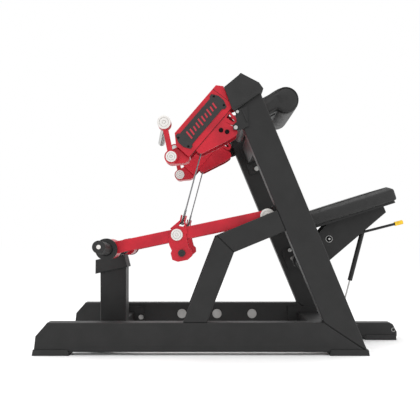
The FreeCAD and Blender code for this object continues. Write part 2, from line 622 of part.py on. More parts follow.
def build_lever_supports():
    """A cheek on the inner side and a wall on the upright's front face carry each lever's shaft."""
    brackets, shafts = [], []
    px, pz = LEVER_PIVOT
    thick = 8
    face = front_face_x(pz)
    direction = 90 + size("lean_angle")
    wall_points = [turned((face, pz), direction, a, b) for a, b in ((-48, 0.5), (48, 0.5), (48, thick),
                                                                    (-48, thick))]
    cheek = [(px, pz + 32), ("arc", px - 32, pz), (px, pz - 32),
             turned((face, pz), direction, -48, 0.5), turned((face, pz), direction, 48, 0.5)]
    for side, sign in SIDES:
        wall = slab(side + "_lever_wall", wall_points, "60", sign * 326)
        plate = slab(side + "_lever_cheek", cheek, "8", sign * 300)
        blank = fuse(side + "_lever_bracket_blank", [wall, plate])
        bore = rod(side + "_bracket_bore", "[lever_shaft_r]", "60", (px, sign * 280, pz), (0, sign, 0))
        brackets.append(cut(side + "_lever_bracket", blank, bore))
        shaft = rod(side + "_lever_shaft", "[lever_shaft_r]", "63", (px, sign * 294, pz), (0, sign, 0))
        disc = rod(side + "_lever_disc", "30", "6", (px, sign * 350.4, pz), (0, sign, 0))
        shafts.append(fuse(side + "_lever_pin", [shaft, disc]))
    node("lever_brackets", group("lever_brackets", brackets))
    node("lever_shafts", group("lever_shafts", shafts))


def build_hangers():
    """Two cheeks on the lever, joined by a spacer and by a yoke that takes the cable's stud."""
    x, z = size("hanger_x"), size("hanger_z")
    gap, thick = size("hanger_gap"), size("hanger_plate")
    cheek = [(x - 30, z + 16), (x - 34, z - 14), ("arc", x - 33, z - 36), (x - 31, z - 44),
             (x - 21, z - 66),
             (x - 26, z - 76), (x - 19, z - 104), (x + 4, z - 112), (x + 45, z - 104), (x + 63, z - 88),
             (x + 62, z - 66), (x + 50, z - 54), (x + 43, z - 26), (x + 36, z + 14), (x + 30, z + 33),
             (x + 8, z + 37),
             (x - 14, z + 30)]
    strap_left = [(x - 18, z + 17), (x + 3, z + 34), (x + 17, z + 56), (x + 21, z + 82), (x + 17, z + 83),
                  (x + 12, z + 60), (x - 28, z + 26)]
    strap_right = [(x + 34, z + 4), (x + 29, z + 56), (x + 36, z + 80), (x + 40, z + 78.5),
                   (x + 34, z + 56), (x + 44, z + 5)]
    # across the lever the straps exist only near the yoke, so that the hanger can swing
    top_left = [(x + 1, z + 44.5), (x + 16, z + 58), (x + 21, z + 82), (x + 17, z + 83), (x + 12, z + 60),
                (x - 3, z + 47.3)]
    top_right = [(x + 32.4, z + 42), (x + 29, z + 56), (x + 36, z + 80), (x + 40, z + 78.5),
                 (x + 34, z + 56),
                 (x + 37.6, z + 43)]
    for side, sign in SIDES:
        y = sign * size("cable_y")
        offset = (gap + thick) / 2
        cheeks = []
        for k in (-1, 1):
            flats = [slab(f"{side}_cheek_{k}", cheek, "[hanger_plate]", y + k * offset),
                     slab(f"{side}_strap_left_{k}", strap_left, "[hanger_plate]", y + k * offset),
                     slab(f"{side}_strap_right_{k}", strap_right, "[hanger_plate]", y + k * offset)]
            cheeks.append(fuse(f"{side}_cheek_plate_{k}", flats))
        node(side + "_hanger", group(side + "_hanger", cheeks))
        face = y + sign * (gap / 2 + thick)
        pin = rod(side + "_hanger_pin", "[hanger_pin_r]", "[hanger_gap]", (x, y - gap / 2, z))
        spacer = rod(side + "_spacer", "9", "[hanger_gap]", (x - 8, y - gap / 2, z - 90))
        yoke = [slab(side + "_yoke_left", top_left, "[hanger_gap]", y),
                slab(side + "_yoke_right", top_right, "[hanger_gap]", y)]
        heads = [rod(side + "_hanger_disc", "15.6", "5", (x + 20, face, z - 76), (0, sign, 0)),
                 rod(side + "_pin_head", "25", "5", (x, face, z), (0, sign, 0))]
        node(side + "_hanger_yoke", group(side + "_hanger_yoke", [pin, spacer] + yoke + heads))


# ---------------------------------------------------------------- seat
def seat_point(along, across):
    """A point in the seat's own frame: along its board from the rear corner, and square to it."""
    return turned((size("seat_corner_x"), size("seat_corner_z")), size("seat_slope"), along, across)


def build_seat():
    px, pz = size("seat_pivot_x"), size("seat_pivot_z")
    plate = [seat_point(28, 0), (727, 598), (464, 373.5), (385, 339), ("arc", px - 44, pz - 6),
             (px - 14, pz + 42),
             (441, 530), seat_point(-240, 0)]
    plate_y = size("seat_plate_y")
    board = [seat_point(a, b) for a, b in ((-352, -0.5), (60, -0.5), (60, 10), (-352, 10))]
    parts = [slab(f"seat_plate_{k}", plate, "[seat_plate_thick]", k * plate_y) for k in (-1, 1)]
    parts.append(slab("seat_board", board, "[board_wide]"))
    parts.append(rod("seat_sleeve", "[seat_sleeve_r]", "200", (px, -100, pz)))
    parts.append(rod("seat_gas_pin", "6", "2 * [seat_plate_y]",
                     (size("gas_top_x"), -plate_y, size("gas_top_z"))))
    parts.append(rod("seat_release_pin", "4", "2 * [seat_plate_y]",
                     (size("release_x"), -plate_y, size("release_z"))))
    blank = fuse("seat_frame_blank", parts)
    bore = rod("seat_bore", "[seat_axle_r] + 0.05", "240", (px, -120, pz))
    node("seat_frame", cut("seat_frame", blank, bore))
    half = size("cross_len") / 2
    node("seat_axle", rod("seat_axle", "[seat_axle_r]", "[cross_len] - 2 * [flange_thick]",
                          (px, -half + size("flange_thick"), pz)))
    cushion = [seat_point(a, b) for a, b in ((-366, 10.3), (68, 10.3), (73, 16), (70, 60), (47, 78),
                                             (-354, 78),
                                             (-366, 66))]
    node("seat_cushion", slab("seat_cushion", cushion, "[seat_wide]"))


def build_gas_spring():
    foot = Vector(size("gas_foot_x"), 0, size("gas_foot_z"))
    top = Vector(size("gas_top_x"), 0, size("gas_top_z"))
    run = foot - top
    unit = Vector(run).normalize()
    body = rod("gas_tube", "[gas_body_r]", "[gas_body_len]", tuple(top), tuple(run))
    eye = rod("gas_top_eye", "13", "20", (top.x, -10, top.z))
    blank = fuse("gas_tube_blank", [body, eye])
    bore = rod("gas_tube_bore", "[gas_bore_r]", "[gas_body_len]", tuple(top + unit * 26), tuple(run))
    bored = cut("gas_tube_bored", blank, bore)
    pin_hole = rod("gas_pin_hole", "6.05", "40", (top.x, -20, top.z))
    node("gas_spring_tube", cut("gas_spring_tube", bored, pin_hole))
    shank = rod("gas_shank", "[gas_rod_r]", "250", tuple(foot), tuple(run * -1))
    piston = rod("gas_piston", "6", "8", tuple(foot - unit * 240), tuple(run * -1))
    low_eye = rod("gas_low_eye", "11", "16", (foot.x, -8, foot.z))
    rod_blank = fuse("gas_rod_blank", [shank, piston, low_eye])
    low_hole = rod("gas_low_hole", "6.05", "40", (foot.x, -20, foot.z))
    node("gas_spring_rod", cut("gas_spring_rod", rod_blank, low_hole))
    ear = [(foot.x - 22, size("rear_rail_top_z")), (foot.x + 22, size("rear_rail_top_z")),
           (foot.x + 14, foot.z + 6),
           ("arc", foot.x, foot.z + 14), (foot.x - 14, foot.z + 6)]
    parts = [slab(f"gas_ear_{k}", ear, "6", k * 14) for k in (-1, 1)]
    parts.append(rod("gas_low_pin", "6", "40", (foot.x, -20, foot.z)))
    node("gas_spring_bracket", fuse("gas_spring_bracket", parts))


def build_release():
    start = Vector(size("release_x"), size("release_y"), size("release_z"))
    tip = Vector(size("release_tip_x"), size("release_y"), size("release_z") + 54.5)
    run = tip - start
    unit = Vector(run).normalize()
    grip_len = 38
    shank = rod("release_shank", "[release_r]", str(run.Length - 10), tuple(start), tuple(run))
    boss = rod("release_boss", "10", "16", tuple(start - Vector(0, 8, 0)))
    blank = fuse("release_blank", [shank, boss])
    hole = rod("release_hole", "4.05", "40", tuple(start - Vector(0, 20, 0)))
    node("release_lever", cut("release_lever", blank, hole))
    knob = rod("release_knob", "10", str(grip_len), tuple(tip - unit * grip_len), tuple(run))
    socket = rod("release_socket", "[release_r]", str(grip_len - 10), tuple(tip - unit * grip_len),
                 tuple(run))
    node("release_grip", cut("release_grip", knob, socket))


# ---------------------------------------------------------------- arm pad
def pad_point(along, across):
    """A point in the pad's own frame: along its slope from the roll's centre, and square to it."""
    return turned((size("roll_x"), size("roll_z")), size("pad_slope"), along, across)


def build_pad():
    r, under = size("roll_r"), size("pad_under")
    meet = -math.sqrt(r * r - under * under)
    outline = [pad_point(-size("pad_len"), -under), pad_point(meet, -under),
               ("arc", *pad_point(r * 0.5, -r * 0.866)),
               pad_point(r, 0), ("arc", *pad_point(r * 0.7071, r * 0.7071)), pad_point(0, r),
               pad_point(-size("pad_len"), r)]
    node("arm_pad", slab("arm_pad", outline, "2 * [pad_half]"))
    board = [pad_point(a, b) for a, b in ((-215, -under - 0.3), (-62, -under - 0.3), (-62, -under - 8),
                                          (-215, -under - 8))]
    direction = 90 + size("lean_angle")
    middle = (size("top_cross_x"), size("top_cross_z"))
    half = size("top_cross_deep") / 2
    foot_left = turned(middle, direction, half, size("top_cross_wide") / 2)
    foot_right = turned(middle, direction, half - 60, -size("top_cross_wide") / 2)
    top_right = turned(middle, direction, half, -size("top_cross_wide") / 2)
    plate = [foot_left, top_right, foot_right, pad_point(-66, -under - 7), pad_point(-200, -under - 7)]
    y = size("pad_bracket_y")
    parts = [slab(f"pad_plate_{k}", plate, "8", k * y) for k in (-1, 1)]
    parts.append(slab("pad_board", board, "300"))
    node("pad_bracket", fuse("pad_bracket", parts))


# ---------------------------------------------------------------- build, check and write
build_side_frames()
build_feet()
build_cross_members()
build_post()
build_rear_rail()
build_arm_supports()
build_arms()
build_links()
build_cables()
build_levers()
build_lever_supports()
build_hangers()
build_seat()
build_gas_spring()
build_release()
build_pad()
doc.recompute()

for obj in doc.Objects:
    if "Invalid" in obj.State or "Error" in obj.State:
        raise RuntimeError(f"{obj.Label} did not compute: {obj.State}")
for obj in NODES:
    if obj.Shape.isNull() or not obj.Shape.isValid() or not obj.Shape.Solids:
        raise RuntimeError(f"{obj.Label} has no valid solid")

os.makedirs("parts", exist_ok=True)
for obj in NODES:
    obj.Shape.exportStep(f"parts/{obj.Label}.step")
print(len(NODES), "sub-parts,", sum(len(o.Shape.Solids) for o in NODES), "solids")
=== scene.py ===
import bpy
import bmesh
import json
import math
import numpy as np
from bpy.props import FloatProperty, PointerProperty, StringProperty
from bpy.types import Operator, Panel, PropertyGroup
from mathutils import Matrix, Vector


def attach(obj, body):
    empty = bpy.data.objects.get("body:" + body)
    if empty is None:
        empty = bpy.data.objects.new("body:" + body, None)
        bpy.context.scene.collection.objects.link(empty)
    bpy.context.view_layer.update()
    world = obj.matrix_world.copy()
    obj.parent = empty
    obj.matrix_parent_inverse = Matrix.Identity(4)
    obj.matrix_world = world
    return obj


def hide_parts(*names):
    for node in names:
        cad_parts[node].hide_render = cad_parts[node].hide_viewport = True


bl_info = {
    "name": "Arm curl machine",
    "version": (1, 0, 0),
    "blender": (4, 5, 0),
    "location": "View3D > Sidebar > Arm curl",
    "description": "Finishes and soft parts of a plate-loaded arm curl machine",
    "category": "Object",
}

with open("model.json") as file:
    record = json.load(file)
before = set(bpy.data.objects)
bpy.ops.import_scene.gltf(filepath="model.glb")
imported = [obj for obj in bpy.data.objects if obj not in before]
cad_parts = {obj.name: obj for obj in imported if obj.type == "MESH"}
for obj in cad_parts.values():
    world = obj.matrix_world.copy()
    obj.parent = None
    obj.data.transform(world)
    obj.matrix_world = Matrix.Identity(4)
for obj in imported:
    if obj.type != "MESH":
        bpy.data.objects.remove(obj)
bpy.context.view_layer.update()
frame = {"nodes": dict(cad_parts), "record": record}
NODES = frame["nodes"]
SIDES = (("left", -1.0), ("right", 1.0))

# shared datum points of the machine, in metres: (X, Z) in the side view
ARM_PIVOT = np.array([0.0494, 1.073])
LEVER_PIVOT = np.array([0.147, 0.571])
LEVER_HUB = np.array([-0.517, 0.432])
HANGER_PIVOT = np.array([-0.228, 0.4923])
SEAT_CORNER = np.array([0.6883, 0.6197])
ROLL_CENTRE = np.array([0.2427, 1.087])
ARM_ANGLE, SEAT_ANGLE, PAD_ANGLE = (math.radians(a) for a in (229.3, 17.5, 29.5))
# the link's two pivots, along and across the arm
LINK_LOW, LINK_TOP = (0.3936, -0.0557), (0.3064, -0.1693)
SEAT_BOLT = (0.462, 0.474)
TOW_HOLE = (0.770, 0.048)

# distances of outer faces from the middle plane, in metres
ARM_FACE, PANEL_FACE, ARM_WEB_FACE, BRACKET_INNER_FACE = 0.390, 0.393, 0.388, 0.2999
LINK_FACE, LINK_PIN_FACE, HANGER_FACE, LEVER_SHAFT_FACE = 0.3921, 0.3912, 0.362, 0.3564
HOOD_BASE, HOOD_FACE, BEARING_FACE, SEAT_PLATE_FACE, RAIL_FACE = 0.4066, 0.4068, 0.3268, 0.058, 0.030
HORN_START, HORN_LENGTH, HORN_TILT = 0.361, 0.180, math.radians(4.0)


# ------------------------------------------------------------------ colours and nodes
def linear(code):
    """An sRGB hex colour as linear red, green, blue and alpha."""
    parts = [int(code[i:i + 2], 16) / 255 for i in (1, 3, 5)]
    return tuple(c / 12.92 if c <= 0.04045 else ((c + 0.055) / 1.055) ** 2.4 for c in parts) + (1.0,)


def add_node(tree, kind, settings=None, **inputs):
    """Add one node, set its properties from `settings` and its sockets from `inputs`, links included."""
    made = tree.nodes.new(kind)
    for key, value in (settings or {}).items():
        setattr(made, key, value)
    for key, value in inputs.items():
        socket = made.inputs[int(key[1:])] if key[0] == "i" and key[1:].isdigit() else made.inputs[
            key.replace("_", " ")]
        if isinstance(value, bpy.types.NodeSocket):
            tree.links.new(value, socket)
        else:
            socket.default_value = value
    return made


def surface(name, shader, build=None):
    """A material whose constants sit on the shader's own sockets; `build(tree, shader, place)` adds
    patterns."""
    made = bpy.data.materials.new(name)
    made.use_nodes = True
    tree = made.node_tree
    principled = tree.nodes["Principled BSDF"]
    for key, value in shader.items():
        principled.inputs[key].default_value = value
    made.diffuse_color = shader["Base Color"]
    if build:
        build(tree, principled, add_node(tree, "ShaderNodeTexCoord").outputs["Object"])
    return made


def mottled(tree, shader, place, dark, light, size_mm, lo=0.35, hi=0.65):
    """Base colour that drifts between two near colours over patches of a real size."""
    noise = add_node(tree, "ShaderNodeTexNoise", Vector=place, Scale=1000.0 / size_mm, Detail=3.0)
    ramp = add_node(tree, "ShaderNodeValToRGB", Fac=noise.outputs["Fac"])
    for stop, position, colour in zip(ramp.color_ramp.elements, (lo, hi), (dark, light)):
        stop.position, stop.color = position, linear(colour)
    tree.links.new(ramp.outputs["Color"], shader.inputs["Base Color"])


def grained(tree, shader, height, depth_mm, strength=1.0):
    """Bump from a height field whose full range is `depth_mm`."""
    bump = add_node(tree, "ShaderNodeBump", Height=height, Strength=strength, Distance=depth_mm / 1000.0)
    tree.links.new(bump.outputs["Normal"], shader.inputs["Normal"])


def uneven_gloss(tree, shader, place, low, high, size_mm):
    """Roughness that wanders between two values over patches of a real size."""
    noise = add_node(tree, "ShaderNodeTexNoise", Vector=place, Scale=1000.0 / size_mm, Detail=2.0)
    ramp = add_node(tree, "ShaderNodeMapRange", Value=noise.outputs["Fac"], From_Min=0.3, From_Max=0.7,
                    To_Min=low, To_Max=high)
    tree.links.new(ramp.outputs["Result"], shader.inputs["Roughness"])


def powder_coat(name, dark, light, rough):
    """Polyester powder coat baked on steel: an even satin skin with a fine orange peel about 2 mm
    across, drawn a little coarser than the 1 mm of the real one so that it shows."""
    def build(tree, shader, place):
        mottled(tree, shader, place, dark, light, 90)
        uneven_gloss(tree, shader, place, rough - 0.04, rough + 0.05, 35)
        peel = add_node(tree, "ShaderNodeTexNoise", Vector=place, Scale=480.0, Detail=2.0, Roughness=0.45)
        grained(tree, shader, peel.outputs["Fac"], 0.05)
    return surface(name, {"Base Color": linear(light), "Roughness": rough, "Specular IOR Level": 0.32},
                   build)


def moulded_rubber(name, dark, light, rough=0.62):
    """Natural rubber pressed in a sandblasted mould: matt, with a pebbled skin of about 1.5 mm."""
    def build(tree, shader, place):
        mottled(tree, shader, place, dark, light, 40)
        pebble = add_node(tree, "ShaderNodeTexVoronoi", Vector=place, Scale=620.0)
        grained(tree, shader, pebble.outputs["Distance"], 0.08)
    return surface(name, {"Base Color": linear(light), "Roughness": rough, "Specular IOR Level": 0.4},
                   build)


def pressed_vinyl(name, dark, light):
    """PVC upholstery film with a pressed leather grain: cells about 2.5 mm wide with fine pores between
    them, satin with a soft sheen where it is stretched."""
    def build(tree, shader, place):
        mottled(tree, shader, place, dark, light, 70, 0.3, 0.7)
        uneven_gloss(tree, shader, place, 0.44, 0.56, 22)
        cells = add_node(tree, "ShaderNodeTexVoronoi", {"feature": "DISTANCE_TO_EDGE"},
                         Vector=place, Scale=400.0)
        edge = add_node(tree, "ShaderNodeMapRange", Value=cells.outputs["Distance"],
                        From_Min=0.0, From_Max=0.12, To_Min=0.0, To_Max=0.8)
        pores = add_node(tree, "ShaderNodeTexNoise", Vector=place, Scale=900.0, Detail=2.0)
        both = add_node(tree, "ShaderNodeMath", {"operation": "MULTIPLY_ADD"}, i0=pores.outputs["Fac"],
                        i1=0.3, i2=edge.outputs["Result"])
        grained(tree, shader, both.outputs["Value"], 0.12)
    return surface(name, {"Base Color": linear(light), "Roughness": 0.5, "Specular IOR Level": 0.4},
                   build)


def turned_steel(name, colour, rough, axis="Y", ring_mm=1.2):
    """Zinc-plated mild steel from the lathe: fine tool rings square to its axis and a slightly uneven
    shine."""
    def build(tree, shader, place):
        uneven_gloss(tree, shader, place, rough - 0.07, rough + 0.08, 12)
        rings = add_node(tree, "ShaderNodeTexWave", {"wave_type": "BANDS", "bands_direction": axis},
                         Vector=place, Scale=1000.0 / ring_mm / 6.28, Distortion=0.6, Detail=1.0)
        grained(tree, shader, rings.outputs["Fac"], 0.02)
    return surface(name, {"Base Color": linear(colour), "Metallic": 1.0, "Roughness": rough}, build)


def twisted_rope(name, colour):
    """Galvanised wire rope: strands about 1.6 mm wide laid across the rope at a slant, with painted shade
    in the gaps between them.
    """
    def build(tree, shader, place):
        lay = add_node(tree, "ShaderNodeMapping", Vector=place, Rotation=(0.0, 0.7, 0.5))
        bands = add_node(tree, "ShaderNodeTexWave", {"wave_type": "BANDS", "bands_direction": "Z"},
                         Vector=lay.outputs["Vector"], Scale=1000.0 / 1.8 / 6.28, Distortion=0.0)
        # painted shade: the base colour goes near-black in the gaps between the strands, where shade
        # falls
        ramp = add_node(tree, "ShaderNodeValToRGB", Fac=bands.outputs["Fac"])
        for stop, shade in zip(ramp.color_ramp.elements, ("#2e2f31", colour)):
            stop.color = linear(shade)
        tree.links.new(ramp.outputs["Color"], shader.inputs["Base Color"])
        grained(tree, shader, bands.outputs["Fac"], 0.4)
    return surface(name, {"Base Color": linear(colour), "Metallic": 0.85, "Roughness": 0.38}, build)


def moulded_plastic(name, dark, light, rough, grain_mm=0.03):
    """Injection-moulded ABS: an even colour, a fine spark-eroded texture and a soft gloss."""
    def build(tree, shader, place):
        mottled(tree, shader, place, dark, light, 25)
        spark = add_node(tree, "ShaderNodeTexNoise", Vector=place, Scale=1100.0, Detail=1.0)
        grained(tree, shader, spark.outputs["Fac"], grain_mm)
    return surface(name, {"Base Color": linear(light), "Roughness": rough}, build)


def knurled_chrome(name):
    """Satin chrome plate over a fine rolled diamond knurl: soft-edged highlights, two crossed sets of
    grooves."""
    def build(tree, shader, place):
        waves = []
        for turn in (0.8, -0.8):
            spin = add_node(tree, "ShaderNodeMapping", Vector=place, Rotation=(turn, 0.0, turn))
            waves.append(add_node(tree, "ShaderNodeTexWave", {"bands_direction": "Z"},
                                  Vector=spin.outputs["Vector"],
                                  Scale=1000.0 / 2.2 / 6.28).outputs["Fac"])
        both = add_node(tree, "ShaderNodeMath", {"operation": "MULTIPLY"}, i0=waves[0], i1=waves[1])
        grained(tree, shader, both.outputs["Value"], 0.05)
        uneven_gloss(tree, shader, place, 0.26, 0.34, 9)
    return surface(name, {"Base Color": linear("#b9b9b7"), "Metallic": 1.0, "Roughness": 0.3}, build)


def foam_grip(name, dark, light):
    """Dipped PVC foam: a slightly uneven matt skin with shallow dimples about 3 mm apart."""
    def build(tree, shader, place):
        mottled(tree, shader, place, dark, light, 8)
        dimples = add_node(tree, "ShaderNodeTexVoronoi", Vector=place, Scale=330.0)
        grained(tree, shader, dimples.outputs["Distance"], 0.3)
    return surface(name, {"Base Color": linear(light), "Roughness": 0.6}, build)


FINISHES = {}


def finish(key):
    """One material of each kind, made the first time it is asked for."""
    colours = bpy.context.scene.curl_colours
    makers = {
        "black_coat": lambda: powder_coat("powder_coated_steel_black", colours.frame_dark,
                                          colours.frame_light, 0.5),
        "hood_coat": lambda: powder_coat("powder_coated_steel_hood", "#1c1c1c", "#212121", 0.46),
        "red_coat": lambda: powder_coat("powder_coated_steel_red", colours.red_dark, colours.red_light,
                                        0.38),
        "rubber": lambda: moulded_rubber("pressed_rubber_black", "#1a1a1a", "#202020"),
        "vinyl": lambda: pressed_vinyl("pressed_vinyl_black", colours.vinyl_dark, colours.vinyl_light),
        "thread": lambda: moulded_plastic("bonded_nylon_thread_black", "#0d0d0d", "#151515", 0.55),
        "steel": lambda: turned_steel("turned_steel_zinc", "#b6b6b4", 0.36),
        "rope": lambda: twisted_rope("laid_wire_rope_galvanised", "#a3a4a6"),
        "panel": lambda: moulded_plastic("moulded_abs_black", "#141414", "#191919", 0.5),
        "white": lambda: moulded_plastic("moulded_abs_white", "#cdcac6", "#d1cecb", 0.34, 0.002),
        "grey": lambda: moulded_plastic("moulded_abs_grey", "#8f8f8d", "#9b9b99", 0.35, 0.008),
        "red_inlay": lambda: moulded_plastic("moulded_abs_red", "#a3182a", "#b01d30", 0.36),
        "knurl": lambda: knurled_chrome("knurled_chrome_plate"),
        # painted shadow: a near-black material for thin lines laid where the arm's plates meet
        "shadow": lambda: moulded_plastic("sealant_line_black", "#060606", "#090909", 0.8),
        "oxide": lambda: turned_steel("turned_steel_black_oxide", "#1c1c1d", 0.42),
        "yellow": lambda: foam_grip("dipped_pvc_yellow", "#dcae10", "#f8d02a"),
    }
    if key not in FINISHES:
        FINISHES[key] = makers[key]()
    return FINISHES[key]


# ------------------------------------------------------------------ surfaces
def turned_point(origin, angle, along, across):
    """(X, Z) of points given along and across a direction that starts at `origin`; works on whole
    arrays."""
    c, s = math.cos(angle), math.sin(angle)
    along, across = np.asarray(along, float), np.asarray(across, float)
    return np.stack([origin[0] + along * c - across * s, origin[1] + along * s + across * c], axis=-1)


def in_arm(along, across):
    """A point of the lifting arm: along it from its pivot, across it towards its underside, in metres."""
    return turned_point(ARM_PIVOT, ARM_ANGLE, along, across)


def stand(xz, y):
    """(X, Z) rows stood up as (X, y, Z) rows."""
    xz = np.asarray(xz, float)
    return np.stack([xz[..., 0], np.broadcast_to(y, xz.shape[:-1]), xz[..., 1]], axis=-1)


def grid_piece(name, points, closed_u=True, closed_v=False, smooth=True, angle=35.0):
    """A surface from a grid of points of shape (u, v, 3), with faces between neighbours; doubled points
    at its poles are merged and its faces turned outwards."""
    nu, nv = points.shape[:2]
    iu = np.arange(nu if closed_u else nu - 1)
    iv = np.arange(nv if closed_v else nv - 1)
    a, b = np.meshgrid(iu, iv, indexing="ij")
    a2, b2 = (a + 1) % nu, (b + 1) % nv
    quads = np.stack([a * nv + b, a2 * nv + b, a2 * nv + b2, a * nv + b2], axis=-1).reshape(-1, 4)
    mesh = bpy.data.meshes.new(name)
    mesh.from_pydata(points.reshape(-1, 3).tolist(), [], quads.tolist())
    bm = bmesh.new()
    bm.from_mesh(mesh)
    bmesh.ops.remove_doubles(bm, verts=bm.verts, dist=1e-6)
    bmesh.ops.dissolve_degenerate(bm, dist=1e-7, edges=bm.edges)
    loops = [e for e in bm.edges if e.is_boundary]
    if loops:
        bmesh.ops.holes_fill(bm, edges=loops, sides=0)
    bmesh.ops.recalc_face_normals(bm, faces=bm.faces)
    bm.to_mesh(mesh)
    bm.free()
    if smooth:
        mesh.shade_smooth()
        mesh.set_sharp_from_angle(angle=math.radians(angle))
    made = bpy.data.objects.new(name, mesh)
    bpy.context.scene.collection.objects.link(made)
    return made


def basis(direction):
    """Two unit vectors square to a direction and to each other."""
    d = np.asarray(direction, float)
    d = d / np.linalg.norm(d)
    side = np.cross(d, [0.0, 0.0, 1.0] if abs(d[2]) < 0.9 else [1.0, 0.0, 0.0])
    side /= np.linalg.norm(side)
    return d, side, np.cross(d, side)


def lathe(name, profile, start, direction, turns=48):
    """A profile of (radius, height) rows turned about an axis: point = start + height * axis + radius *
    (cos t * side + sin t * up)."""
    d, side, up = basis(direction)
    profile = np.asarray(profile, float)
    t = np.linspace(0, 2 * np.pi, turns, endpoint=False)[:, None, None]
    ring = np.cos(t) * side + np.sin(t) * up
    points = np.asarray(start) + profile[None, :, 1:2] * d + profile[None, :, 0:1] * ring
    return grid_piece(name, points)


def inset_outline(outline, distance):
    """A closed outline moved inwards: each corner goes along its bisector by distance / cos(half its
    turn)."""
    p = np.asarray(outline, float)
    nxt, prv = np.roll(p, -1, 0), np.roll(p, 1, 0)
    area = np.sum(p[:, 0] * nxt[:, 1] - nxt[:, 0] * p[:, 1])
    e1 = (p - prv) / np.linalg.norm(p - prv, axis=1)[:, None]
    e2 = (nxt - p) / np.linalg.norm(nxt - p, axis=1)[:, None]
    n1 = np.stack([-e1[:, 1], e1[:, 0]], 1) * np.sign(area)
    n2 = np.stack([-e2[:, 1], e2[:, 0]], 1) * np.sign(area)
    middle = n1 + n2
    middle /= np.linalg.norm(middle, axis=1)[:, None]
    return p + middle * (distance / np.maximum(np.sum(middle * n1, 1), 0.3))[:, None]


def plate(name, outline, low, high, bevel):
    """A flat plate from a closed (X, Z) outline: rings at each (inset, height) of its edge profile,
    carried round the outline, with its two faces closed."""
    rows = [(bevel, low), (0.0, low + bevel), (0.0, high - bevel), (bevel, high)]
    rings = [stand(inset_outline(outline, inset), y) for inset, y in rows]
    return grid_piece(name, np.stack(rings, axis=1), smooth=False)


def tube(name, path, radius, turns=10):
    """A round tube along a path of points: each ring is square to the path's direction there. Its ends
    are closed flat."""
    path = np.asarray(path, float)
    step = np.gradient(path, axis=0)
    step /= np.linalg.norm(step, axis=1)[:, None]
    side = np.cross(step, [0.0, 1.0, 0.02])
    side /= np.linalg.norm(side, axis=1)[:, None]
    up = np.cross(step, side)
    t = np.linspace(0, 2 * np.pi, turns, endpoint=False)[:, None, None]
    points = path + radius * (np.cos(t) * side + np.sin(t) * up)
    return grid_piece(name, points)


def merged(name, pieces):
    """Several made pieces of one kind joined as one object."""
    bm = bmesh.new()
    for piece in pieces:
        bm.from_mesh(piece.data)
    mesh = bpy.data.meshes.new(name)
    bm.to_mesh(mesh)
    bm.free()
    for piece in pieces:
        old = piece.data
        bpy.data.objects.remove(piece)
        bpy.data.meshes.remove(old)
    mesh.set_sharp_from_angle(angle=math.radians(35))
    made = bpy.data.objects.new(name, mesh)
    bpy.context.scene.collection.objects.link(made)
    return made


def settle(piece, body, material):
    """Give a finished piece its material and its body."""
    piece.data.materials.clear()
    piece.data.materials.append(finish(material))
    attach(piece, body)
    return piece


def swell(piece, pressure, cap, voxel=0.005, frames=20):
    """Blow a closed soft form up like foam pressed into its cover: remeshed evenly, run as cloth under
    inner pressure with no gravity, and each point held to within `cap` of where it began."""
    scene = bpy.context.scene
    bpy.context.view_layer.objects.active = piece
    remesh = piece.modifiers.new("even", "REMESH")
    remesh.mode, remesh.voxel_size = "VOXEL", voxel
    graph = bpy.context.evaluated_depsgraph_get()
    even = bpy.data.meshes.new_from_object(piece.evaluated_get(graph))
    piece.modifiers.clear()
    old = piece.data
    piece.data = even
    bpy.data.meshes.remove(old)
    count = len(even.vertices)
    before = np.empty(count * 3)
    even.vertices.foreach_get("co", before)
    cloth = piece.modifiers.new("cloth", "CLOTH")
    cloth.settings.use_pressure = True
    cloth.settings.uniform_pressure_force = pressure
    cloth.settings.effector_weights.gravity = 0.0
    cloth.settings.quality = 5
    cloth.settings.tension_stiffness = cloth.settings.compression_stiffness = 40.0
    cloth.settings.bending_stiffness = 2.0
    cloth.point_cache.frame_end = frames
    for number in range(1, frames + 1):
        scene.frame_set(number)
    graph = bpy.context.evaluated_depsgraph_get()
    blown = bpy.data.meshes.new_from_object(piece.evaluated_get(graph))
    piece.modifiers.clear()
    after = np.empty(count * 3)
    blown.vertices.foreach_get("co", after)
    moved = (after - before).reshape(-1, 3)
    if not np.isfinite(moved).all():
        raise RuntimeError(f"{piece.name}: the cloth did not settle")
    length = np.linalg.norm(moved, axis=1)[:, None]
    moved *= np.minimum(1.0, cap / np.maximum(length, 1e-9))
    even.vertices.foreach_set("co", before + moved.reshape(-1))
    even.update()
    even.shade_smooth()
    bpy.data.meshes.remove(blown)
    scene.frame_set(1)
    return piece


# ------------------------------------------------------------------ settings
class CurlColours(PropertyGroup):
    """Colours a maker would change."""
    frame_dark: StringProperty(name="Frame, dark", description="Darker tone of the frame's powder coat",
                               default="#191919")
    frame_light: StringProperty(name="Frame, light",
                                description="Lighter tone of the frame's powder coat",
                                default="#1e1e1e")
    red_dark: StringProperty(name="Red, dark", description="Darker tone of the moving parts' coat",
                             default="#a01324")
    red_light: StringProperty(name="Red, light", description="Lighter tone of the moving parts' coat",
                              default="#bb182a")
    vinyl_dark: StringProperty(name="Vinyl, dark", description="Darker tone of the upholstery",
                               default="#161616")
    vinyl_light: StringProperty(name="Vinyl, light", description="Lighter tone of the upholstery",
                                default="#1c1c1c")


class CurlSizes(PropertyGroup):
    """Sizes a maker would change."""
    cap_radius: FloatProperty(name="Pivot cap radius",
                              description="Radius of the white caps on the links",
                              default=0.027, unit="LENGTH")
    crown: FloatProperty(name="Cushion crown",
                         description="How far the seat's middle stands above its rim",
                         default=0.002, unit="LENGTH")
    pad_round: FloatProperty(name="Pad end round", description="Rounding of the arm pad's two ends",
                             default=0.016, unit="LENGTH")


